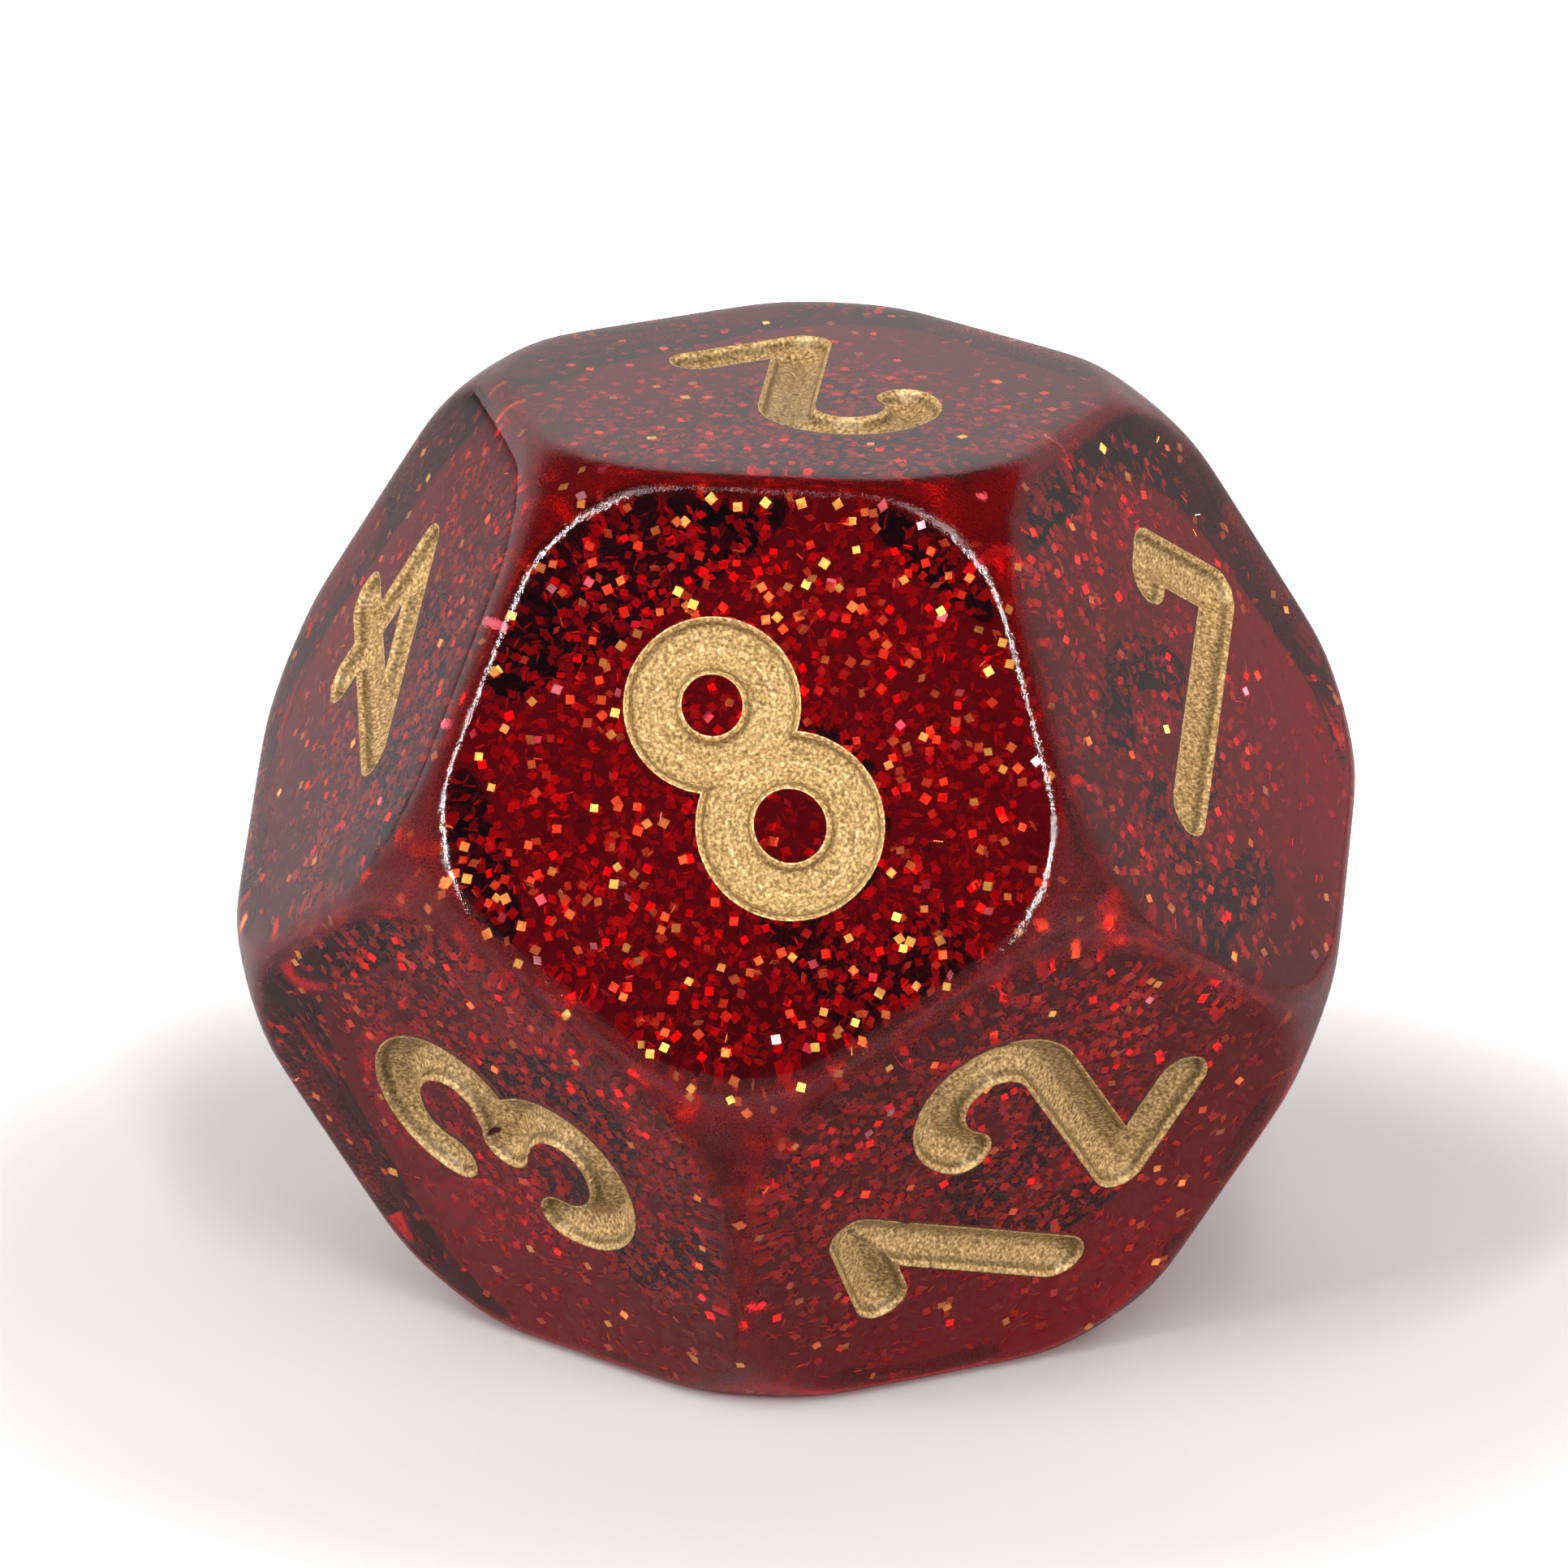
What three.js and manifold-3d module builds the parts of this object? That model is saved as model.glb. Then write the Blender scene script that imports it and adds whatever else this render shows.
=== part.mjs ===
// A twelve-sided die: a moulded resin body with the numbers 1 to 12 engraved in
// its faces, and a separate gold paint fill in the groove of every digit.
// Millimetres, +Z up. The origin is the centre of the face that the die rests on.

import * as THREE from 'three';
import { mergeVertices } from 'three/addons/utils/BufferGeometryUtils.js';
import Module from 'manifold-3d';

const wasm = await Module();
wasm.setup();

// ---- Driving dimensions -------------------------------------------------

const FACE_TO_FACE = 18; // across two opposite faces
const FRONT_AZIMUTH = -96.3; // degrees, the way that the front face looks
const TUMBLED_BALL = 10.77; // radius that the corners are worn down to
const BALL_CRISPNESS = 20; // per mm, how sharply the worn corners start
const EDGE_CRISPNESS = 6.5; // per mm, higher is sharper: here an edge radius of about 0.7
const FLAT_RADIUS = 4.4; // disc in the middle of each face that is truly flat
const SIDE_STEPS = 4; // mesh steps along one side of a face
const RIM_STEPS = [0, 0.45, 0.7, 0.87, 1]; // rings from the flat disc out to the edge

const DIGIT_TOP = 2.5; // centre line of the top stroke above the face centre
const DIGIT_BASE = -2.55; // centre line of the bottom stroke
const ARC_STEP = 22.5; // degrees between the points of a curved stroke
const CAP_STEPS = 8; // facets round the end of a stroke

// Cross-sections of a stroke, from its half width at the top down to its middle.
const GROOVE = { topHalf: 0.56, topZ: 0.4, footHalf: 0.47, footZ: -0.28, bottomZ: -0.52 };
const PAINT_GAP = 0.025; // between the paint and the resin, so that the solids don't touch
const PAINT_RIM = -0.03; // the paint stops just below the face
const PAINT_FILL = {
  topHalf: 0.495,
  topZ: PAINT_RIM,
  footHalf: GROOVE.footHalf - PAINT_GAP,
  footZ: GROOVE.footZ + PAINT_GAP / 2,
  bottomZ: GROOVE.bottomZ + PAINT_GAP,
};
const PAINT_HOLLOW = { topHalf: 0.4, topZ: 0.4, footHalf: 0.36, footZ: -0.12, bottomZ: -0.36 };

// ---- Where the numbers go -----------------------------------------------

const INRADIUS = FACE_TO_FACE / 2;
const GOLDEN_RATIO = (1 + Math.sqrt(5)) / 2;
const FACE_INRADIUS = INRADIUS / GOLDEN_RATIO; // face centre to the middle of a side
const RING_TILT = THREE.MathUtils.radToDeg(Math.atan(0.5)); // faces look 26.565 degrees up or down
const FIFTH = 72;

// Opposite faces add up to 13. turn is how far the number's top is turned anticlockwise
// from the steepest way up its face, so that it points to a corner of the pentagon.
const NUMBERS = [
  { number: 2, azimuth: FRONT_AZIMUTH, tilt: 90, turn: -144 },
  { number: 11, azimuth: FRONT_AZIMUTH, tilt: -90, turn: 0 },
  ...ring(RING_TILT, 0, [[8, 36], [7, -36], [10, 36], [1, 108], [4, -108]]),
  ...ring(-RING_TILT, FIFTH / 2, [[12, 72], [9, -72], [5, 144], [6, 0], [3, 72]]),
];

function ring(tilt, offset, numbersAndTurns) {
  return numbersAndTurns.map(([number, turn], step) => (
    { number, azimuth: FRONT_AZIMUTH + offset + FIFTH * step, tilt, turn }
  ));
}

// X right, Y to the number's top and Z out of the face, with the origin at the face centre.
function faceMatrix({ azimuth, tilt, turn }) {
  const toRad = THREE.MathUtils.degToRad;
  return new THREE.Matrix4()
    .makeRotationZ(toRad(azimuth))
    .multiply(new THREE.Matrix4().makeRotationY(toRad(-tilt)))
    .multiply(new THREE.Matrix4().makeBasis(
      new THREE.Vector3(0, 1, 0),
      new THREE.Vector3(0, 0, 1),
      new THREE.Vector3(1, 0, 0),
    ))
    .multiply(new THREE.Matrix4().makeRotationZ(toRad(turn)))
    .multiply(new THREE.Matrix4().makeTranslation(0, 0, INRADIUS));
}

// ---- Digits, as the paths that the engraver's cutter follows ------------

function line(...points) {
  return { closed: false, points };
}

function arc(x, y, radiusX, radiusY, from, to) {
  const steps = Math.max(2, Math.round(Math.abs(to - from) / ARC_STEP));
  const points = [];
  for (let step = 0; step <= steps; step += 1) {
    const angle = THREE.MathUtils.degToRad(from + ((to - from) * step) / steps);
    points.push([x + radiusX * Math.cos(angle), y + radiusY * Math.sin(angle)]);
  }
  return { closed: false, points };
}

function oval(x, y, radiusX, radiusY) {
  return { closed: true, points: arc(x, y, radiusX, radiusY, 0, 360).points.slice(0, -1) };
}

function turnedOver(strokes) {
  return strokes.map(({ closed, points }) => ({ closed, points: points.map(([x, y]) => [-x, -y]) }));
}

function digitSix() {
  const bowl = 1.3;
  const bowlY = DIGIT_BASE + bowl;
  return [
    oval(0, bowlY, bowl, bowl),
    arc(1.1, bowlY, bowl + 1.1, DIGIT_TOP - bowlY, 180, 98),
  ];
}

function digitTwo() {
  const bow = 1.19;
  const bowY = DIGIT_TOP - bow;
  const corner = [-bow, DIGIT_BASE];
  const toCorner = Math.hypot(bow, bowY - DIGIT_BASE);
  const slope = Math.atan2(bowY - DIGIT_BASE, bow) - Math.asin(bow / toCorner);
  const leave = THREE.MathUtils.radToDeg(slope) - 90; // where the bow runs into the straight
  const hook = arc(0, bowY, bow, bow, 180, leave);
  hook.points.push(corner);
  return [hook, line(corner, [1.12, DIGIT_BASE])];
}

const DIGITS = {
  0: [oval(0, 0, 1.25, DIGIT_TOP)],
  1: [
    line([0, DIGIT_TOP], [0, DIGIT_BASE]),
    line([0, DIGIT_TOP], [-1.37, DIGIT_TOP - 1.53]),
  ],
  2: digitTwo(),
  3: [
    arc(0, 1.25, 1.32, 1.25, 180, -75),
    arc(0, -1.35, 1.33, 1.25, 75, -180),
    line([-0.07, -0.05], [0.5, -0.05]),
  ],
  4: [
    line([0.6, DIGIT_TOP], [0.6, DIGIT_BASE]),
    line([0.6, DIGIT_TOP], [-1.65, -1.2]),
    line([-1.65, -1.2], [1.6, -1.2]),
  ],
  5: [
    line([1.1, DIGIT_TOP], [-0.9, DIGIT_TOP]),
    line([-0.9, DIGIT_TOP], [-1.05, 0.2]),
    arc(0, -1.02, 1.4, 1.53, 138, -150),
  ],
  6: digitSix(),
  7: [
    line([-1.2, 2.0], [-1.08, DIGIT_TOP]),
    line([-1.08, DIGIT_TOP], [1.25, DIGIT_TOP]),
    line([1.25, DIGIT_TOP], [-0.55, DIGIT_BASE]),
  ],
  8: [oval(0, 1.4, 1.1, 1.12), oval(0, -1.28, 1.2, 1.24)],
  9: turnedOver(digitSix()),
};
const READING_DOT = [line([0, 0], [0.06, 0])];

// Numbers that stand off the middle of their faces, where the rest are 0.1 to the right.
const NUMBER_SHIFT = { 2: [-0.3, 0], 3: [0.2, 0], 4: [-0.3, -0.1], 7: [0.1, 0.2], 8: [0.15, 0.12] };

// Each separate paint fill: its name, its strokes and where it stands in the face.
function fillsOf(number) {
  const fill = (name, digit, x, y = 0) => (
    { name: `gold_fill_${name}`, strokes: DIGITS[digit], at: [x, y] }
  );
  if (number === 10) return [fill('10_one', 1, -1.75), fill('10_zero', 0, 1.55)];
  if (number === 11) return [fill('11_left', 1, -0.85), fill('11_right', 1, 1.95)];
  if (number === 12) return [fill('12_one', 1, -1.95), fill('12_two', 2, 1.58)];
  const fills = [fill(`${number}`, number, ...(NUMBER_SHIFT[number] ?? [0.1, 0]))];
  if (number === 6 || number === 9) {
    fills.push({ name: `gold_fill_${number}_dot`, strokes: READING_DOT, at: [2.55, DIGIT_BASE + 0.05] });
  }
  return fills;
}

// ---- Solids --------------------------------------------------------------

function geometryFrom(positions, indices) {
  const geometry = new THREE.BufferGeometry();
  geometry.setAttribute('position', new THREE.Float32BufferAttribute(positions, 3));
  geometry.setIndex(indices);
  return geometry;
}

function solidFrom(geometry) {
  const bare = geometry.clone();
  bare.deleteAttribute('normal');
  bare.deleteAttribute('uv');
  const merged = mergeVertices(bare, 1e-4);
  const mesh = new wasm.Mesh({
    numProp: 3,
    vertProperties: merged.attributes.position.array,
    triVerts: Uint32Array.from(merged.index.array),
  });
  mesh.merge();
  return new wasm.Manifold(mesh);
}

function meshFrom(name, solid, material) {
  const { vertProperties, triVerts } = solid.getMesh();
  const geometry = geometryFrom(Array.from(vertProperties), Array.from(triVerts)).toNonIndexed();
  geometry.computeVertexNormals();
  const mesh = new THREE.Mesh(geometry, material);
  mesh.name = name;
  return mesh;
}

function joined(solids) {
  return solids.reduce((whole, solid) => whole.add(solid));
}

// The sideways direction at each point of a path, longer where the path bends.
function mitres({ points, closed }) {
  return points.map((point, index) => {
    const count = points.length;
    const before = closed || index > 0 ? points[(index + count - 1) % count] : null;
    const after = closed || index < count - 1 ? points[(index + 1) % count] : null;
    const sides = [before && [before, point], after && [point, after]]
      .filter(Boolean)
      .map(([from, to]) => new THREE.Vector2(from[1] - to[1], to[0] - from[0]).normalize());
    const mitre = sides.length === 2 ? sides[0].clone().add(sides[1]).normalize() : sides[0].clone();
    return mitre.divideScalar(mitre.dot(sides[0]));
  });
}

// A cross-section swept along a path, with flat ends unless the path is closed.
function sweptStroke(path, { topHalf, topZ, footHalf, footZ, bottomZ }) {
  const section = [[-topHalf, topZ], [-footHalf, footZ], [0, bottomZ], [footHalf, footZ], [topHalf, topZ]];
  const size = section.length;
  const sideways = mitres(path);
  const positions = path.points.flatMap(([x, y], index) => section.flatMap(([side, z]) => (
    [x - sideways[index].x * side, y - sideways[index].y * side, z]
  )));
  const indices = [];
  const spans = path.closed ? path.points.length : path.points.length - 1;
  for (let span = 0; span < spans; span += 1) {
    const here = span * size;
    const next = ((span + 1) % path.points.length) * size;
    for (let corner = 0; corner < size; corner += 1) {
      const turn = (corner + 1) % size;
      indices.push(here + corner, next + corner, here + turn);
      indices.push(here + turn, next + corner, next + turn);
    }
  }
  if (!path.closed) {
    const last = spans * size;
    for (let corner = 1; corner < size - 1; corner += 1) {
      indices.push(0, corner, corner + 1);
      indices.push(last, last + corner + 1, last + corner);
    }
  }
  return solidFrom(geometryFrom(positions, indices));
}

// The round end of a stroke: the same cross-section turned about its middle.
function roundEnd([x, y], { topHalf, topZ, footHalf, footZ, bottomZ }) {
  const profile = [[0, bottomZ], [footHalf, footZ], [topHalf, topZ], [0, topZ]];
  const geometry = new THREE.LatheGeometry(profile.map((p) => new THREE.Vector2(...p)), CAP_STEPS);
  geometry.rotateX(Math.PI / 2);
  geometry.translate(x, y, 0);
  return solidFrom(geometry);
}

function strokesSolid(strokes, section, [shiftX, shiftY]) {
  const solids = strokes.flatMap((path) => {
    const swept = sweptStroke(path, section);
    if (path.closed) return [swept];
    return [swept, roundEnd(path.points[0], section), roundEnd(path.points.at(-1), section)];
  });
  return joined(solids).translate([shiftX, shiftY, 0]);
}

// ---- Resin body ------------------------------------------------------------

const NORMALS = NUMBERS.map((face) => new THREE.Vector3(0, 0, 1).transformDirection(faceMatrix(face)));

// How far the surface is from the centre along a direction. The faces and the tumbled
// ball are blended, so that edges and corners run smoothly into flat faces.
function surfaceRadius(direction) {
  const leans = NORMALS.map((normal) => normal.dot(direction));
  let radius = Math.min(INRADIUS / Math.max(...leans), TUMBLED_BALL);
  for (let round = 0; round < 20; round += 1) {
    let sum = Math.exp(BALL_CRISPNESS * (radius - TUMBLED_BALL));
    let slope = sum * BALL_CRISPNESS;
    for (const lean of leans) {
      const share = Math.exp(EDGE_CRISPNESS * (lean * radius - INRADIUS));
      sum += share;
      slope += share * lean * EDGE_CRISPNESS;
    }
    radius -= (Math.log(sum) * sum) / slope;
  }
  return radius;
}

// One face in its own plane: a flat disc, then rings that run out to the pentagon's sides.
function facePoints() {
  const around = 5 * SIDE_STEPS;
  const rings = RIM_STEPS.map((share) => {
    const points = [];
    for (let step = 0; step < around; step += 1) {
      const angle = (step * 2 * Math.PI) / around;
      const fromSide = (((step % SIDE_STEPS) / SIDE_STEPS - 0.5) * 2 * Math.PI) / 5;
      const reach = THREE.MathUtils.lerp(FLAT_RADIUS, FACE_INRADIUS / Math.cos(fromSide), share);
      points.push([-reach * Math.sin(angle), reach * Math.cos(angle)]);
    }
    return points;
  });
  return { around, rings };
}

function bodyBlank() {
  const { around, rings } = facePoints();
  const positions = [];
  const indices = [];
  for (const face of NUMBERS) {
    const matrix = faceMatrix(face);
    const start = positions.length / 3;
    positions.push(...new THREE.Vector3(0, 0, 0).applyMatrix4(matrix).toArray());
    rings.forEach((points, ringIndex) => points.forEach(([x, y]) => {
      const point = new THREE.Vector3(x, y, 0).applyMatrix4(matrix);
      if (ringIndex > 0) point.setLength(surfaceRadius(point.clone().normalize()));
      positions.push(...point.toArray());
    }));
    for (let step = 0; step < around; step += 1) {
      const turn = (step + 1) % around;
      indices.push(start, start + 1 + step, start + 1 + turn);
      for (let ringIndex = 1; ringIndex < rings.length; ringIndex += 1) {
        const inner = start + 1 + (ringIndex - 1) * around;
        const outer = inner + around;
        indices.push(inner + step, outer + step, inner + turn);
        indices.push(inner + turn, outer + step, outer + turn);
      }
    }
  }
  return solidFrom(geometryFrom(positions, indices));
}

function engravedBody() {
  const grooves = NUMBERS.flatMap((face) => fillsOf(face.number).map(({ strokes, at }) => (
    strokesSolid(strokes, GROOVE, at).transform(faceMatrix(face).toArray())
  )));
  return bodyBlank().subtract(joined(grooves));
}

// ---- The die ---------------------------------------------------------------

const resin = new THREE.MeshStandardMaterial({ color: 0x7a0a18, roughness: 0.12, metalness: 0 });
const goldPaint = new THREE.MeshStandardMaterial({ color: 0xb8975a, roughness: 0.45, metalness: 0.6 });

function paintedNumber(face) {
  const group = new THREE.Group();
  faceMatrix(face).decompose(group.position, group.quaternion, group.scale);
  for (const { name, strokes, at } of fillsOf(face.number)) {
    const coat = strokesSolid(strokes, PAINT_FILL, at).subtract(strokesSolid(strokes, PAINT_HOLLOW, at));
    group.add(meshFrom(name, coat, goldPaint));
  }
  return group;
}

const die = new THREE.Group();
die.position.z = INRADIUS;
die.add(meshFrom('die_body', engravedBody(), resin));
NUMBERS.forEach((face) => die.add(paintedNumber(face)));

export default die;
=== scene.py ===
"""A twelve-sided die of deep red resin full of foil glitter, with gold paint in its numbers.

The body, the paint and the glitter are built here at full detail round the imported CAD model,
and stand in for its plain solids. Lengths are in millimetres until a mesh is made.
"""

import math

import bpy
import numpy as np
from mathutils import Matrix, Vector, noise


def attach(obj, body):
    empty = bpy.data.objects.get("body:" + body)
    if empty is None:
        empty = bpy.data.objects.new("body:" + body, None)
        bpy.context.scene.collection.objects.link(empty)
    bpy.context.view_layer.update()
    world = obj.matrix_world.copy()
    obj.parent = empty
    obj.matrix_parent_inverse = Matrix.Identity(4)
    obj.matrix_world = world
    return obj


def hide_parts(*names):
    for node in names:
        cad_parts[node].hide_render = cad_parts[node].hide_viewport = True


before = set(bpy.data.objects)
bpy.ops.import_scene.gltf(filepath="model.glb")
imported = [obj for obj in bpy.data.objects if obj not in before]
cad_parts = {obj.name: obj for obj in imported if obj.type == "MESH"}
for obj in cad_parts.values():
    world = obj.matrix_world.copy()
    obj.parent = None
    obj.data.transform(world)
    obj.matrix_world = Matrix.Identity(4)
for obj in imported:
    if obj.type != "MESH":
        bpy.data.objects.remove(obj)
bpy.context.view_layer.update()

MM = 0.001

# ---- Driving dimensions, the same as the CAD model's -------------------------

FACE_TO_FACE = 18.0
FRONT_AZIMUTH = -96.3
TUMBLED_BALL = 10.77
BALL_CRISPNESS = 20.0
EDGE_CRISPNESS = 6.5
FLAT_RADIUS = 4.4
DIGIT_TOP = 2.5
DIGIT_BASE = -2.55

INRADIUS = FACE_TO_FACE / 2
FACE_INRADIUS = INRADIUS / ((1 + math.sqrt(5)) / 2)
RING_TILT = math.degrees(math.atan(0.5))
FIFTH = 72

# ---- Detail that only the visual model has -----------------------------------

TUMBLED_FROM, TUMBLED_AT = 4.0, 10.0  # degrees of lean at which the scuffs start and are full
SIDE_STEPS = 22  # mesh steps along one side of a face
RIM_RINGS = 16  # mesh rings from the flat disc out to the edge
ARC_STEP = 6.0  # degrees
PATH_STEP = 0.1  # longest step along a straight stroke
CAP_STEPS = 28  # facets round the end of a stroke

# Cross-sections of a stroke as half width and height, from the top down to the middle.
GROOVE = [
    (0.68, 0.2), (0.565, 0.02), (0.538, -0.008), (0.52, -0.03), (0.508, -0.07),
    (0.472, -0.28), (0.4, -0.4), (0.22, -0.48), (0, -0.52),
]
PAINT_BACK = [
    (0.538, 0.0), (0.53, -0.03), (0.518, -0.07), (0.482, -0.285),
    (0.41, -0.41), (0.23, -0.492), (0, -0.532),
]
PAINT_FRONT = [
    (0.62, 0.2), (0.53, 0.03), (0.5, -0.01), (0.475, -0.035), (0.455, -0.07),
    (0.425, -0.14), (0.395, -0.2), (0.35, -0.235), (0.28, -0.27), (0.2, -0.315),
    (0.12, -0.36), (0.05, -0.4), (0.02, -0.412), (0, -0.415),
]
PAINT_FLOOR = -0.44  # points of the paint below this are on its back, against the groove

FLAKE_COUNT = 8500
FLAKE_SIDE = 0.16
FLAKE_SIDE_RANGE = (0.85, 1.1)
FLAKE_THICKNESS = 0.014
FLAKE_COVER = 0.03  # least depth of a flake under the surface
FLAKE_PIECES = 4  # the first is silver foil and the others are gold
SILVER_SHARE = 0.1
SPARSE_DEPTH = 2.2  # fewer flakes are shallower than this, except under the front face
SPARSE_SHARE = 0.3  # how many of those stay
CALM_DEPTH = 2.6  # of the flakes shallower than this, many lie along the wall
CALM_SHARE = 0.7
CALM = 3.0  # pull towards the wall's direction, where a loose flake's own is 1
GROOVE_BERTH = 0.6  # flakes keep this far from the middle of a stroke and from its bottom
DRAWS = 20000  # flakes drawn at a time
SEED = 1206

# ---- Faces and numbers -------------------------------------------------------


def ring(tilt, offset, numbers_and_turns):
    return [
        (number, FRONT_AZIMUTH + offset + FIFTH * step, tilt, turn)
        for step, (number, turn) in enumerate(numbers_and_turns)
    ]


FACES = [
    (2, FRONT_AZIMUTH, 90, -144),
    (11, FRONT_AZIMUTH, -90, 0),
    *ring(RING_TILT, 0, [(8, 36), (7, -36), (10, 36), (1, 108), (4, -108)]),
    *ring(-RING_TILT, FIFTH / 2, [(12, 72), (9, -72), (5, 144), (6, 0), (3, 72)]),
]
FRONT_FACE = 2  # its place in FACES


def face_matrix(face):
    """X right, Y to the number's top and Z out of the face, from the centre of the die."""
    _, azimuth, tilt, turn = face
    basis = Matrix(((0, 0, 1, 0), (1, 0, 0, 0), (0, 1, 0, 0), (0, 0, 0, 1)))
    return (
        Matrix.Rotation(math.radians(azimuth), 4, "Z")
        @ Matrix.Rotation(math.radians(-tilt), 4, "Y")
        @ basis
        @ Matrix.Rotation(math.radians(turn), 4, "Z")
        @ Matrix.Translation((0, 0, INRADIUS))
    )


MATRICES = [face_matrix(face) for face in FACES]
NORMALS = np.array([tuple(matrix.col[2].xyz) for matrix in MATRICES])
TO_FRAME = Matrix.Scale(MM, 4) @ Matrix.Translation((0, 0, INRADIUS))

# ---- Digits as pen strokes: (closed, points) ---------------------------------


def line(*points):
    return (False, list(points))


def arc(x, y, radius_x, radius_y, start, end):
    steps = max(2, round(abs(end - start) / ARC_STEP))
    points = []
    for step in range(steps + 1):
        angle = math.radians(start + (end - start) * step / steps)
        points.append((x + radius_x * math.cos(angle), y + radius_y * math.sin(angle)))
    return (False, points)


def oval(x, y, radius_x, radius_y):
    return (True, arc(x, y, radius_x, radius_y, 0, 360)[1][:-1])


def turned_over(strokes):
    return [(closed, [(-x, -y) for x, y in points]) for closed, points in strokes]


def digit_six():
    bowl = 1.3
    bowl_y = DIGIT_BASE + bowl
    return [oval(0, bowl_y, bowl, bowl), arc(1.1, bowl_y, bowl + 1.1, DIGIT_TOP - bowl_y, 180, 98)]


def digit_two():
    bow = 1.19
    bow_y = DIGIT_TOP - bow
    corner = (-bow, DIGIT_BASE)
    to_corner = math.hypot(bow, bow_y - DIGIT_BASE)
    slope = math.atan2(bow_y - DIGIT_BASE, bow) - math.asin(bow / to_corner)
    hook = arc(0, bow_y, bow, bow, 180, math.degrees(slope) - 90)
    return [(False, hook[1] + [corner]), line(corner, (1.12, DIGIT_BASE))]


DIGITS = {
    0: [oval(0, 0, 1.25, DIGIT_TOP)],
    1: [line((0, DIGIT_TOP), (0, DIGIT_BASE)), line((0, DIGIT_TOP), (-1.37, DIGIT_TOP - 1.53))],
    2: digit_two(),
    3: [
        arc(0, 1.25, 1.32, 1.25, 180, -75),
        arc(0, -1.35, 1.33, 1.25, 75, -180),
        line((-0.07, -0.05), (0.5, -0.05)),
    ],
    4: [
        line((0.6, DIGIT_TOP), (0.6, DIGIT_BASE)),
        line((0.6, DIGIT_TOP), (-1.65, -1.2)),
        line((-1.65, -1.2), (1.6, -1.2)),
    ],
    5: [
        line((1.1, DIGIT_TOP), (-0.9, DIGIT_TOP)),
        line((-0.9, DIGIT_TOP), (-1.05, 0.2)),
        arc(0, -1.02, 1.4, 1.53, 138, -150),
    ],
    6: digit_six(),
    7: [
        line((-1.2, 2.0), (-1.08, DIGIT_TOP)),
        line((-1.08, DIGIT_TOP), (1.25, DIGIT_TOP)),
        line((1.25, DIGIT_TOP), (-0.55, DIGIT_BASE)),
    ],
    8: [oval(0, 1.4, 1.1, 1.12), oval(0, -1.28, 1.2, 1.24)],
    9: turned_over(digit_six()),
}
READING_DOT = [line((0, 0), (0.06, 0))]
USUAL_SHIFT = (0.1, 0)
NUMBER_SHIFT = {2: (-0.3, 0), 3: (0.2, 0), 4: (-0.3, -0.1), 7: (0.1, 0.2), 8: (0.15, 0.12)}


def fills_of(number):
    """The name, strokes and place in its face of each separate paint fill."""
    pairs = {
        10: [("10_one", 1, -1.75), ("10_zero", 0, 1.55)],
        11: [("11_left", 1, -0.85), ("11_right", 1, 1.95)],
        12: [("12_one", 1, -1.95), ("12_two", 2, 1.58)],
    }
    if number in pairs:
        return [(name, DIGITS[digit], (x, 0)) for name, digit, x in pairs[number]]
    fills = [(str(number), DIGITS[number], NUMBER_SHIFT.get(number, USUAL_SHIFT))]
    if number in (6, 9):
        fills.append((f"{number}_dot", READING_DOT, (2.55, DIGIT_BASE + 0.05)))
    return fills


def placed(strokes, shift):
    return [(closed, [(x + shift[0], y + shift[1]) for x, y in points]) for closed, points in strokes]


# ---- Meshes ------------------------------------------------------------------


def mesh_object(name, vertices, faces):
    mesh = bpy.data.meshes.new(name)
    mesh.from_pydata([tuple(v) for v in vertices], [], faces)
    mesh.validate()
    obj = bpy.data.objects.new(name, mesh)
    bpy.context.collection.objects.link(obj)
    return obj


def boolean(base, operation, tool):
    modifier = base.modifiers.new(operation, "BOOLEAN")
    modifier.operation = operation
    modifier.solver = "MANIFOLD"
    modifier.object = tool


def apply_modifiers(obj):
    depsgraph = bpy.context.evaluated_depsgraph_get()
    mesh = bpy.data.meshes.new_from_object(obj.evaluated_get(depsgraph))
    obj.modifiers.clear()
    obj.data = mesh


def remove(objects):
    for obj in objects:
        bpy.data.objects.remove(obj, do_unlink=True)


def weld(obj, distance):
    modifier = obj.modifiers.new("weld", "WELD")
    modifier.merge_threshold = distance
    apply_modifiers(obj)


def subdivided(closed, points):
    """The same path with no step longer than PATH_STEP."""
    ends = points[1:] + (points[:1] if closed else [])
    out = []
    for here, there in zip(points, ends):
        steps = max(1, math.ceil(math.dist(here, there) / PATH_STEP))
        for step in range(steps):
            share = step / steps
            out.append((here[0] + (there[0] - here[0]) * share, here[1] + (there[1] - here[1]) * share))
    return out if closed else out + [points[-1]]


def sideways(closed, points):
    """The mitred sideways direction at each point of a path."""
    path = np.array(points)
    steps = np.roll(path, -1, axis=0) - path
    sides = np.stack([-steps[:, 1], steps[:, 0]], axis=1)
    sides /= np.linalg.norm(sides, axis=1)[:, None]
    before = np.roll(sides, 1, axis=0)
    if not closed:
        before[0] = sides[0]
        sides[-1] = before[-1]
    mitre = before + sides
    mitre /= np.linalg.norm(mitre, axis=1)[:, None]
    return mitre / np.sum(mitre * sides, axis=1)[:, None]


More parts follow.
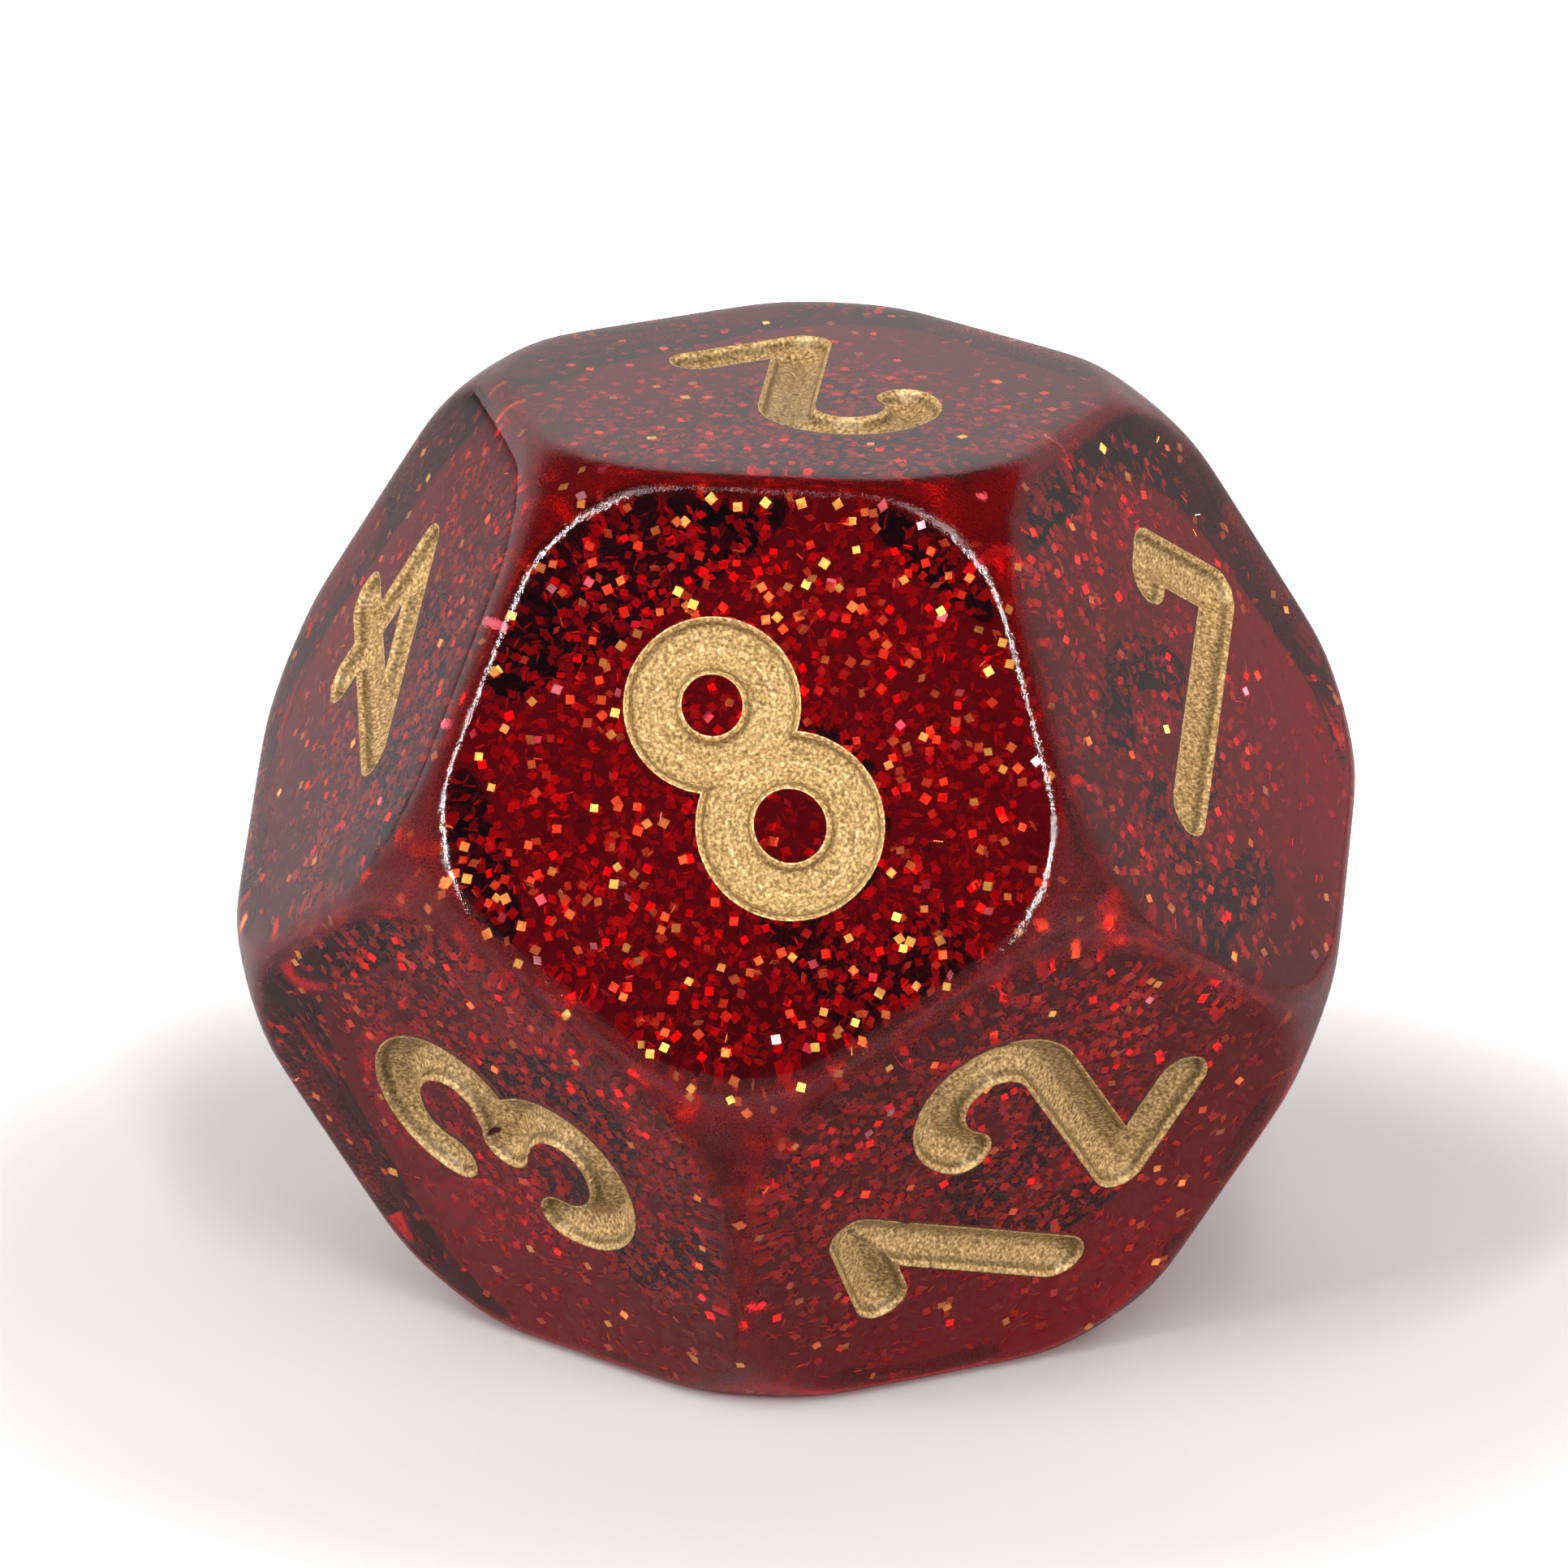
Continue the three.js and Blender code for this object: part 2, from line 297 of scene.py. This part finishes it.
def swept_stroke(stroke, section):
    closed = stroke[0]
    points = subdivided(*stroke)
    across = [(-half, z) for half, z in section] + [(half, z) for half, z in reversed(section[:-1])]
    size = len(across)
    vertices = []
    for (x, y), side in zip(points, sideways(closed, points)):
        vertices += [(x + side[0] * half, y + side[1] * half, z) for half, z in across]
    faces = []
    spans = len(points) if closed else len(points) - 1
    for span in range(spans):
        here = span * size
        there = ((span + 1) % len(points)) * size
        for corner in range(size):
            turn = (corner + 1) % size
            faces.append((here + corner, here + turn, there + turn, there + corner))
    if not closed:
        faces.append(tuple(reversed(range(size))))
        faces.append(tuple(range(spans * size, spans * size + size)))
    return mesh_object("stroke", vertices, faces)


def round_end(centre, section):
    """The cross-section turned about its middle."""
    vertices = [(*centre, section[-1][1])]
    faces = []
    for half, z in reversed(section[:-1]):
        for step in range(CAP_STEPS):
            angle = 2 * math.pi * step / CAP_STEPS
            vertices.append((centre[0] + half * math.cos(angle), centre[1] + half * math.sin(angle), z))
    for step in range(CAP_STEPS):
        turn = (step + 1) % CAP_STEPS
        faces.append((0, 1 + turn, 1 + step))
        for level in range(len(section) - 2):
            low = 1 + level * CAP_STEPS
            high = low + CAP_STEPS
            faces.append((low + step, low + turn, high + turn, high + step))
    top = 1 + (len(section) - 2) * CAP_STEPS
    faces.append(tuple(range(top, top + CAP_STEPS)))
    return mesh_object("end", vertices, faces)


def strokes_object(name, strokes, section):
    """All the strokes of one fill with one cross-section, as one closed mesh."""
    solids = []
    for stroke in strokes:
        solids.append(swept_stroke(stroke, section))
        if not stroke[0]:
            solids.append(round_end(stroke[1][0], section))
            solids.append(round_end(stroke[1][-1], section))
    whole = solids[0]
    whole.name = name
    for solid in solids[1:]:
        boolean(whole, "UNION", solid)
    apply_modifiers(whole)
    remove(solids[1:])
    return whole


def smooth(obj, sharp_degrees):
    mesh = obj.data
    mesh.polygons.foreach_set("use_smooth", [True] * len(mesh.polygons))
    mesh.set_sharp_from_angle(angle=math.radians(sharp_degrees))


# ---- The resin body ----------------------------------------------------------


def surface_radius(directions):
    """How far the tumbled surface is from the centre along each direction."""
    leans = directions @ NORMALS.T
    radius = np.minimum(INRADIUS / leans.max(axis=1), TUMBLED_BALL)
    for _ in range(20):
        shares = np.exp(EDGE_CRISPNESS * (leans * radius[:, None] - INRADIUS))
        ball = np.exp(BALL_CRISPNESS * (radius - TUMBLED_BALL))
        total = shares.sum(axis=1) + ball
        slope = EDGE_CRISPNESS * (shares * leans).sum(axis=1) + BALL_CRISPNESS * ball
        radius = radius - np.log(total) * total / slope
    return radius


def depth_below_surface(points):
    """About how deep each point is inside the body; negative outside."""
    shares = np.exp(EDGE_CRISPNESS * (points @ NORMALS.T - INRADIUS)).sum(axis=1)
    ball = np.exp(BALL_CRISPNESS * (np.linalg.norm(points, axis=1) - TUMBLED_BALL))
    return -np.log(shares + ball) / EDGE_CRISPNESS


def tumbled_share(points):
    """From 0 on the flat of a face to 1 where the surface leans TUMBLED_AT degrees from it."""
    shares = EDGE_CRISPNESS * np.exp(EDGE_CRISPNESS * (points @ NORMALS.T - INRADIUS))
    reach = np.linalg.norm(points, axis=1)
    ball = BALL_CRISPNESS * np.exp(BALL_CRISPNESS * (reach - TUMBLED_BALL)) / reach
    slope = shares @ NORMALS + points * ball[:, None]
    lean = (slope @ NORMALS.T).max(axis=1) / np.linalg.norm(slope, axis=1)
    turned = np.degrees(np.arccos(np.clip(lean, -1, 1)))
    return np.clip((turned - TUMBLED_FROM) / (TUMBLED_AT - TUMBLED_FROM), 0, 1)


def face_grid():
    """One face in its own plane: the centre, then rings from the flat disc to the sides."""
    around = 5 * SIDE_STEPS
    rings = []
    for index in range(RIM_RINGS + 1):
        share = 1 - (1 - index / RIM_RINGS) ** 1.5
        for step in range(around):
            angle = step * 2 * math.pi / around
            from_side = ((step % SIDE_STEPS) / SIDE_STEPS - 0.5) * 2 * math.pi / 5
            edge = FACE_INRADIUS / math.cos(from_side)
            reach = FLAT_RADIUS + (edge - FLAT_RADIUS) * share
            rings.append((-reach * math.sin(angle), reach * math.cos(angle)))
    return around, np.array(rings)


def body_blank():
    around, flat = face_grid()
    vertices = []
    faces = []
    for matrix in MATRICES:
        start = len(vertices)
        turn_and_place = np.array(matrix)
        points = flat @ turn_and_place[:3, :2].T + turn_and_place[:3, 3]
        outer = points[around:]
        directions = outer / np.linalg.norm(outer, axis=1)[:, None]
        points[around:] = directions * surface_radius(directions)[:, None]
        vertices += [tuple(point) for point in points]
        faces.append(tuple(start + step for step in range(around)))
        for index in range(RIM_RINGS):
            inner = start + index * around
            for step in range(around):
                turn = (step + 1) % around
                faces.append((inner + step, inner + around + step, inner + around + turn, inner + turn))
    blank = mesh_object("resin_body", vertices, faces)
    weld(blank, 1e-4)
    return blank


def resin_body(material):
    body = body_blank()
    tools = []
    for face, matrix in zip(FACES, MATRICES):
        for name, strokes, shift in fills_of(face[0]):
            tool = strokes_object(f"groove_{name}", placed(strokes, shift), GROOVE)
            tool.data.transform(matrix)
            boolean(body, "DIFFERENCE", tool)
            tools.append(tool)
    apply_modifiers(body)
    remove(tools)
    points = np.array([tuple(vertex.co) for vertex in body.data.vertices])
    tumbled = body.data.attributes.new("tumbled", "FLOAT", "POINT")
    tumbled.data.foreach_set("value", tumbled_share(points))
    body.data.transform(TO_FRAME)
    smooth(body, 32)
    body.data.materials.clear()
    body.data.materials.append(material)
    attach(body, "root")
    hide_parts("die_body")


# ---- The gold paint ----------------------------------------------------------


def roughen(obj, seed):
    """Raises and sinks the open side of the paint by a few hundredths, as dried paint is."""
    offset = Vector((seed * 7.3, seed * 3.1, 0))
    for vertex in obj.data.vertices:
        x, y, z = vertex.co
        if z > PAINT_FLOOR:
            spot = Vector((x, y, 0)) + offset
            lump = noise.noise(spot * 2.6) * 0.022 + noise.noise(spot * 7.5) * 0.012
            vertex.co.z = z + lump * min(1, max(0, -z / 0.1))


def paint_fill(name, strokes, matrix, seed, material):
    fill = strokes_object(f"gold_paint_{name}", strokes, PAINT_BACK)
    hollow = strokes_object("hollow", strokes, PAINT_FRONT)
    boolean(fill, "DIFFERENCE", hollow)
    apply_modifiers(fill)
    remove([hollow])
    roughen(fill, seed)
    depth = fill.data.attributes.new("depth", "FLOAT", "POINT")
    depth.data.foreach_set("value", [-vertex.co.z for vertex in fill.data.vertices])
    fill.data.transform(TO_FRAME @ matrix)
    smooth(fill, 28)
    fill.data.materials.clear()
    fill.data.materials.append(material)
    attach(fill, "root")
    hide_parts(f"gold_fill_{name}")


def gold_paint(material):
    seed = 0
    for face, matrix in zip(FACES, MATRICES):
        for name, strokes, shift in fills_of(face[0]):
            seed += 1
            paint_fill(name, placed(strokes, shift), matrix, seed, material)


# ---- The glitter -------------------------------------------------------------


def distance_to_strokes(points, strokes):
    """Distance in the plane of the face from each point to the nearest stroke."""
    nearest = np.full(len(points), 1e9)
    for closed, path in strokes:
        ends = path[1:] + (path[:1] if closed else [])
        for start, end in zip(np.array(path), np.array(ends)):
            along = end - start
            share = np.clip((points - start) @ along / (along @ along), 0, 1)
            gap = np.linalg.norm(points - start - share[:, None] * along, axis=1)
            nearest = np.minimum(nearest, gap)
    return nearest


def in_a_groove(points):
    """True where a point is in or too near an engraved stroke."""
    hit = np.zeros(len(points), dtype=bool)
    for face, matrix in zip(FACES, MATRICES):
        back = np.array(matrix.inverted())
        local = points @ back[:3, :3].T + back[:3, 3]
        shallow = np.flatnonzero(local[:, 2] > -GROOVE_BERTH)
        for _, strokes, shift in fills_of(face[0]):
            gap = distance_to_strokes(local[shallow, :2], placed(strokes, shift))
            hit[shallow[gap < GROOVE_BERTH]] = True
    return hit


def flake_turns(rng, centres):
    """Rotation matrices. Many of the flakes near a face lie along it."""
    count = len(centres)
    leans = centres @ NORMALS.T
    walls = NORMALS[leans.argmax(axis=1)]
    shallow = INRADIUS - leans.max(axis=1) < CALM_DEPTH
    calm = np.where(shallow & (rng.random(count) < CALM_SHARE), CALM, 0)
    out = rng.normal(size=(count, 3)) + walls * calm[:, None]
    out /= np.linalg.norm(out, axis=1)[:, None]
    side = np.cross(out, rng.normal(size=(count, 3)))
    side /= np.linalg.norm(side, axis=1)[:, None]
    return np.stack([side, np.cross(out, side), out], axis=2)


def flake_corners():
    """The eight corners of every flake, all of them under the surface and clear of the paint."""
    rng = np.random.default_rng(SEED)
    signs = np.array([(a, b, c) for c in (-1, 1) for b in (-1, 1) for a in (-1, 1)])
    kept = []
    found = 0
    while found < FLAKE_COUNT:
        centres = rng.uniform(-TUMBLED_BALL, TUMBLED_BALL, (DRAWS, 3))
        centres = centres[depth_below_surface(centres) > FLAKE_COVER]
        leans = centres @ NORMALS.T
        shallow = INRADIUS - leans.max(axis=1) < SPARSE_DEPTH
        sparse = shallow & (leans.argmax(axis=1) != FRONT_FACE)
        centres = centres[~sparse | (rng.random(len(centres)) < SPARSE_SHARE)]
        sides = FLAKE_SIDE * rng.uniform(*FLAKE_SIDE_RANGE, len(centres))
        half = np.stack([sides / 2, sides / 2, np.full(len(sides), FLAKE_THICKNESS / 2)], axis=1)
        corners = np.einsum("nij,nkj->nki", flake_turns(rng, centres), signs[None] * half[:, None])
        corners += centres[:, None]
        flat = corners.reshape(-1, 3)
        bad = (depth_below_surface(flat) < FLAKE_COVER) | in_a_groove(flat)
        good = corners[~bad.reshape(-1, 8).any(axis=1)]
        kept.append(good)
        found += len(good)
    return np.concatenate(kept)[:FLAKE_COUNT]


BOX_FACES = [(0, 2, 3, 1), (4, 5, 7, 6), (0, 1, 5, 4), (2, 6, 7, 3), (0, 4, 6, 2), (1, 3, 7, 5)]


def foil_glitter(gold, silver):
    silver_count = round(FLAKE_COUNT * SILVER_SHARE)
    corners = flake_corners()
    groups = [corners[:silver_count], *np.array_split(corners[silver_count:], FLAKE_PIECES - 1)]
    for index, corners in enumerate(groups):
        starts = range(0, 8 * len(corners), 8)
        faces = [tuple(start + corner for corner in face) for start in starts for face in BOX_FACES]
        flakes = mesh_object(f"foil_glitter_{index + 1}", corners.reshape(-1, 3), faces)
        flakes.data.transform(TO_FRAME)
        flakes.data.materials.append(silver if index == 0 else gold)
        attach(flakes, "root")


# ---- Materials ---------------------------------------------------------------


def new_material(name):
    material = bpy.data.materials.new(name)
    material.use_nodes = True
    nodes = material.node_tree.nodes
    return material, nodes, material.node_tree.links, nodes["Principled BSDF"], nodes["Material Output"]


def noise_node(nodes, links, scale, detail):
    coordinates = nodes.new("ShaderNodeTexCoord")
    texture = nodes.new("ShaderNodeTexNoise")
    texture.inputs["Scale"].default_value = scale
    texture.inputs["Detail"].default_value = detail
    links.new(coordinates.outputs["Object"], texture.inputs["Vector"])
    return texture


def ramp_node(nodes, links, source, stops):
    ramp = nodes.new("ShaderNodeValToRGB")
    elements = ramp.color_ramp.elements
    while len(elements) < len(stops):
        elements.new(0.5)
    for element, (position, color) in zip(elements, stops):
        element.position = position
        element.color = (*color, 1)
    links.new(source, ramp.inputs["Fac"])
    return ramp


def bump_node(nodes, links, height, strength, distance):
    bump = nodes.new("ShaderNodeBump")
    bump.inputs["Strength"].default_value = strength
    bump.inputs["Distance"].default_value = distance
    links.new(height, bump.inputs["Height"])
    return bump


def math_node(nodes, links, operation, first, second=None):
    node = nodes.new("ShaderNodeMath")
    node.operation = operation
    for socket, value in zip(node.inputs, (first, second)):
        if isinstance(value, (int, float)):
            socket.default_value = value
        elif value is not None:
            links.new(value, socket)
    return node.outputs["Value"]


def step_node(nodes, links, value, start, end):
    """From 0 to 1 as value goes from start to end."""
    span = nodes.new("ShaderNodeMapRange")
    span.interpolation_type = "SMOOTHSTEP"
    span.inputs["From Min"].default_value = start
    span.inputs["From Max"].default_value = end
    links.new(value, span.inputs["Value"])
    return span.outputs["Result"]


def mix_node(nodes, links, factor, first, second):
    mix = nodes.new("ShaderNodeMix")
    mix.data_type = "RGBA"
    links.new(factor, mix.inputs["Factor"])
    for name, value in (("A", first), ("B", second)):
        if isinstance(value, tuple):
            mix.inputs[name].default_value = (*value, 1)
        else:
            links.new(value, mix.inputs[name])
    return mix.outputs["Result"]


def resin_material():
    """Clear resin that takes green and blue out of the light. Its worn edges are scuffed."""
    material, nodes, links, shader, output = new_material("red_resin")
    shader.inputs["Base Color"].default_value = (1, 1, 1, 1)
    shader.inputs["Transmission Weight"].default_value = 1
    shader.inputs["IOR"].default_value = 1.5
    shader.inputs["Roughness"].default_value = 0.02
    shader.inputs["Specular IOR Level"].default_value = 0.4
    scuffs = noise_node(nodes, links, 16000, 2)
    tumbled = nodes.new("ShaderNodeAttribute")
    tumbled.attribute_name = "tumbled"
    height = math_node(nodes, links, "MULTIPLY", scuffs.outputs["Fac"], tumbled.outputs["Fac"])
    bump = bump_node(nodes, links, height, 0.7, 0.00001)
    links.new(bump.outputs["Normal"], shader.inputs["Normal"])
    absorption = nodes.new("ShaderNodeVolumeAbsorption")
    absorption.inputs["Color"].default_value = (0.92, 0.1, 0.22, 1)
    absorption.inputs["Density"].default_value = 1150
    links.new(absorption.outputs["Volume"], output.inputs["Volume"])
    return material


def paint_material():
    """Gold paint: metal powder in lacquer, grainy, with worn spots that show the resin, and painted
    shade on the steep walls of each groove.
    """
    material, nodes, links, shader, _ = new_material("gold_paint")
    grain = noise_node(nodes, links, 15000, 4)
    colors = ramp_node(nodes, links, grain.outputs["Fac"], [
        (0.3, (0.13, 0.072, 0.022)),
        (0.5, (0.44, 0.27, 0.097)),
        (0.7, (0.87, 0.61, 0.29)),
    ])
    wear = noise_node(nodes, links, 1500, 2)
    worn = ramp_node(nodes, links, wear.outputs["Fac"], [(0.24, (1, 1, 1)), (0.28, (0, 0, 0))])
    # Painted shade: the steep walls of the groove, about 0.1 to 0.17 mm deep, are painted darker than
    # the rim and the bottom, as shade in the recess.
    depth = nodes.new("ShaderNodeAttribute")
    depth.attribute_name = "depth"
    groove_wall_shade = ramp_node(nodes, links, depth.outputs["Fac"], [
        (0.0, (0.9, 0.9, 0.9)),
        (0.06, (0.95, 0.95, 0.95)),
        (0.1, (0.42, 0.4, 0.38)),
        (0.17, (0.45, 0.43, 0.4)),
        (0.25, (0.88, 0.88, 0.88)),
        (0.36, (0.85, 0.85, 0.85)),
    ])
    wall_shaded_gold = mix_node(nodes, links, groove_wall_shade.outputs["Color"], (0.03, 0.016, 0.005), colors.outputs["Color"])
    painted = mix_node(nodes, links, worn.outputs["Color"], wall_shaded_gold, (0.05, 0.002, 0.003))
    links.new(painted, shader.inputs["Base Color"])
    shader.inputs["Metallic"].default_value = 0.3
    shader.inputs["Roughness"].default_value = 0.42
    bump = bump_node(nodes, links, grain.outputs["Fac"], 0.5, 0.00002)
    links.new(bump.outputs["Normal"], shader.inputs["Normal"])
    return material


def foil_material(name, color):
    """Foil, slightly crumpled."""
    material, nodes, links, shader, _ = new_material(name)
    shader.inputs["Base Color"].default_value = (*color, 1)
    shader.inputs["Metallic"].default_value = 0.8
    shader.inputs["Roughness"].default_value = 0.28
    # The glow stands for the red light that real resin scatters.
    shader.inputs["Emission Color"].default_value = (1.0, 0.03, 0.07, 1)
    shader.inputs["Emission Strength"].default_value = 0.11
    crumple = noise_node(nodes, links, 9000, 1)
    bump = bump_node(nodes, links, crumple.outputs["Fac"], 0.3, 0.00002)
    links.new(bump.outputs["Normal"], shader.inputs["Normal"])
    return material


# ---- Studio ------------------------------------------------------------------

WHITE_FROM = 14.0  # from here the table fades to plain white
WHITE_AT = 30.0  # from here it is plain white
FLOOR_DROP = 0.03  # below the die's resting face
CAMERA_DISTANCE = 296.2
CAMERA_ELEVATION = 18.99
CAMERA_LENS = 359.1
CAMERA_ROLL = 0.57
AIM = Vector((-0.255, 0, INRADIUS + 1.197))


def add_camera():
    lens = bpy.data.cameras.new("camera")
    lens.lens = CAMERA_LENS
    lens.sensor_width = 36
    lens.clip_end = 10
    camera = bpy.data.objects.new("camera", lens)
    bpy.context.collection.objects.link(camera)
    back = math.radians(CAMERA_ELEVATION)
    place = Vector((0, -CAMERA_DISTANCE * math.cos(back), INRADIUS + CAMERA_DISTANCE * math.sin(back)))
    look = (AIM - place).to_track_quat("-Z", "Y").to_matrix().to_4x4()
    camera.matrix_world = (
        Matrix.Translation(place * MM) @ look @ Matrix.Rotation(math.radians(CAMERA_ROLL), 4, "Z")
    )
    bpy.context.scene.camera = camera


def add_floor():
    floor = mesh_object("floor", [(-2, -2, 0), (2, -2, 0), (2, 2, 0), (-2, 2, 0)], [(0, 1, 2, 3)])
    floor.location.z = -FLOOR_DROP * MM
    material, nodes, links, shader, _ = new_material("white_table")
    seen = nodes.new("ShaderNodeLightPath")
    shader.inputs["Roughness"].default_value = 0.9
    shader.inputs["Specular IOR Level"].default_value = 0
    place = nodes.new("ShaderNodeTexCoord")
    reach = nodes.new("ShaderNodeVectorMath")
    reach.operation = "LENGTH"
    links.new(place.outputs["Object"], reach.inputs[0])
    far = step_node(nodes, links, reach.outputs["Value"], WHITE_FROM * MM, WHITE_AT * MM)
    # Painted shadow: in reflections and bounced light the table is darker within WHITE_FROM of the die
    # and fades to its plain tone by WHITE_AT.
    mirrored = mix_node(nodes, links, far, (0.23, 0.22, 0.225), (0.4, 0.385, 0.39))
    unseen = mix_node(nodes, links, seen.outputs["Is Transmission Ray"], mirrored, (0.36, 0.33, 0.34))
    tone = mix_node(nodes, links, seen.outputs["Is Camera Ray"], unseen, (0.55, 0.535, 0.533))
    links.new(tone, shader.inputs["Base Color"])
    white = math_node(nodes, links, "MULTIPLY", far, seen.outputs["Is Camera Ray"])
    shader.inputs["Emission Color"].default_value = (1, 1, 1, 1)
    links.new(white, shader.inputs["Emission Strength"])
    floor.data.materials.append(material)


def add_light(name, azimuth, elevation, distance, size, power, mirrored=True):
    """A soft light that faces the die, in metres and watts. Only a mirrored one shows in gloss."""
    light = bpy.data.lights.new(name, "AREA")
    light.shape = "RECTANGLE"
    light.size = size[0]
    light.size_y = size[1]
    light.energy = power
    lamp = bpy.data.objects.new(name, light)
    lamp.visible_glossy = mirrored
    lamp.visible_camera = False
    bpy.context.collection.objects.link(lamp)
    turn, rise = math.radians(azimuth), math.radians(elevation)
    way = Vector((math.cos(rise) * math.cos(turn), math.cos(rise) * math.sin(turn), math.sin(rise)))
    lamp.location = way * distance
    lamp.rotation_euler = way.to_track_quat("Z", "Y").to_euler()


ROOM_LIGHT = 1.0

# The front face mirrors a dark patch of the room to the camera, between two tall lights.
DARK_AZIMUTH = -102.6
DARK_HALF_WIDTH = 22.0
DARK_LOW, DARK_HIGH = 27.0, 42.0
STRIP_OFFSET = 24.0  # azimuth of each tall light from the middle of the dark patch


def height_at(elevation):
    return math.sin(math.radians(elevation))


def studio_world():
    """Pale surroundings, dim overhead, dark where the front face looks; plain through resin."""
    world = bpy.data.worlds.new("studio")
    bpy.context.scene.world = world
    world.use_nodes = True
    nodes, links = world.node_tree.nodes, world.node_tree.links
    coordinates = nodes.new("ShaderNodeTexCoord")
    parts = nodes.new("ShaderNodeSeparateXYZ")
    links.new(coordinates.outputs["Generated"], parts.inputs["Vector"])
    x, y, z = parts.outputs
    back = step_node(nodes, links, y, -0.6, 0.8)
    room = mix_node(nodes, links, back, (0.41, 0.4, 0.41), (0.69, 0.65, 0.66))
    right = step_node(nodes, links, x, 0.3, 0.9)
    room = mix_node(nodes, links, right, room, (0.5, 0.48, 0.49))
    overhead = step_node(nodes, links, z, 0.48, 0.66)
    room = mix_node(nodes, links, overhead, room, (0.11, 0.09, 0.1))
    azimuth = math_node(nodes, links, "ARCTAN2", x, math_node(nodes, links, "MULTIPLY", y, -1))
    middle = math.radians(DARK_AZIMUTH + 90)
    aside = math_node(nodes, links, "ABSOLUTE", math_node(nodes, links, "SUBTRACT", azimuth, middle))
    wide = math.radians(DARK_HALF_WIDTH)
    inside = step_node(nodes, links, aside, wide + 0.03, wide)
    low = step_node(nodes, links, z, height_at(DARK_LOW - 2), height_at(DARK_LOW + 1))
    high = step_node(nodes, links, z, height_at(DARK_HIGH + 4), height_at(DARK_HIGH))
    band = math_node(nodes, links, "MULTIPLY", low, high)
    dark = math_node(nodes, links, "MULTIPLY", band, inside)
    room = mix_node(nodes, links, dark, room, (0.09, 0.07, 0.11))
    light_path = nodes.new("ShaderNodeLightPath")
    room = mix_node(nodes, links, light_path.outputs["Is Transmission Ray"], room, (0.34, 0.31, 0.33))
    shown = mix_node(nodes, links, light_path.outputs["Is Camera Ray"], room, (1.0, 1.0, 1.0))
    links.new(shown, nodes["Background"].inputs["Color"])
    nodes["Background"].inputs["Strength"].default_value = ROOM_LIGHT


def studio():
    scene = bpy.context.scene
    scene.view_settings.view_transform = "Standard"
    scene.cycles.max_bounces = 16
    scene.cycles.glossy_bounces = 8
    scene.cycles.transmission_bounces = 14
    add_camera()
    add_floor()
    studio_world()
    add_light("overhead", 80, 60, 0.8, (1.2, 0.6), 3.0, mirrored=False)
    add_light("front", -108, 38, 0.45, (0.42, 0.42), 0.5, mirrored=False)
    add_light("left_fill", -158, 6, 0.45, (0.3, 0.3), 2.5, mirrored=False)
    add_light("right_fill", -36, 8, 0.45, (0.3, 0.3), 2.5, mirrored=False)
    for side, azimuth in (("left", DARK_AZIMUTH - STRIP_OFFSET), ("right", DARK_AZIMUTH + STRIP_OFFSET)):
        add_light(f"{side}_strip", azimuth, 38, 0.5, (0.035, 0.3), 1.4)
        add_light(f"{side}_window", azimuth, 62, 0.5, (0.1, 0.1), 0.16)


# ---- The die -----------------------------------------------------------------

studio()
resin_body(resin_material())
gold_paint(paint_material())
foil_glitter(
    foil_material("gold_foil", (1.0, 0.84, 0.14)),
    foil_material("silver_foil", (0.95, 0.95, 0.95)),
)
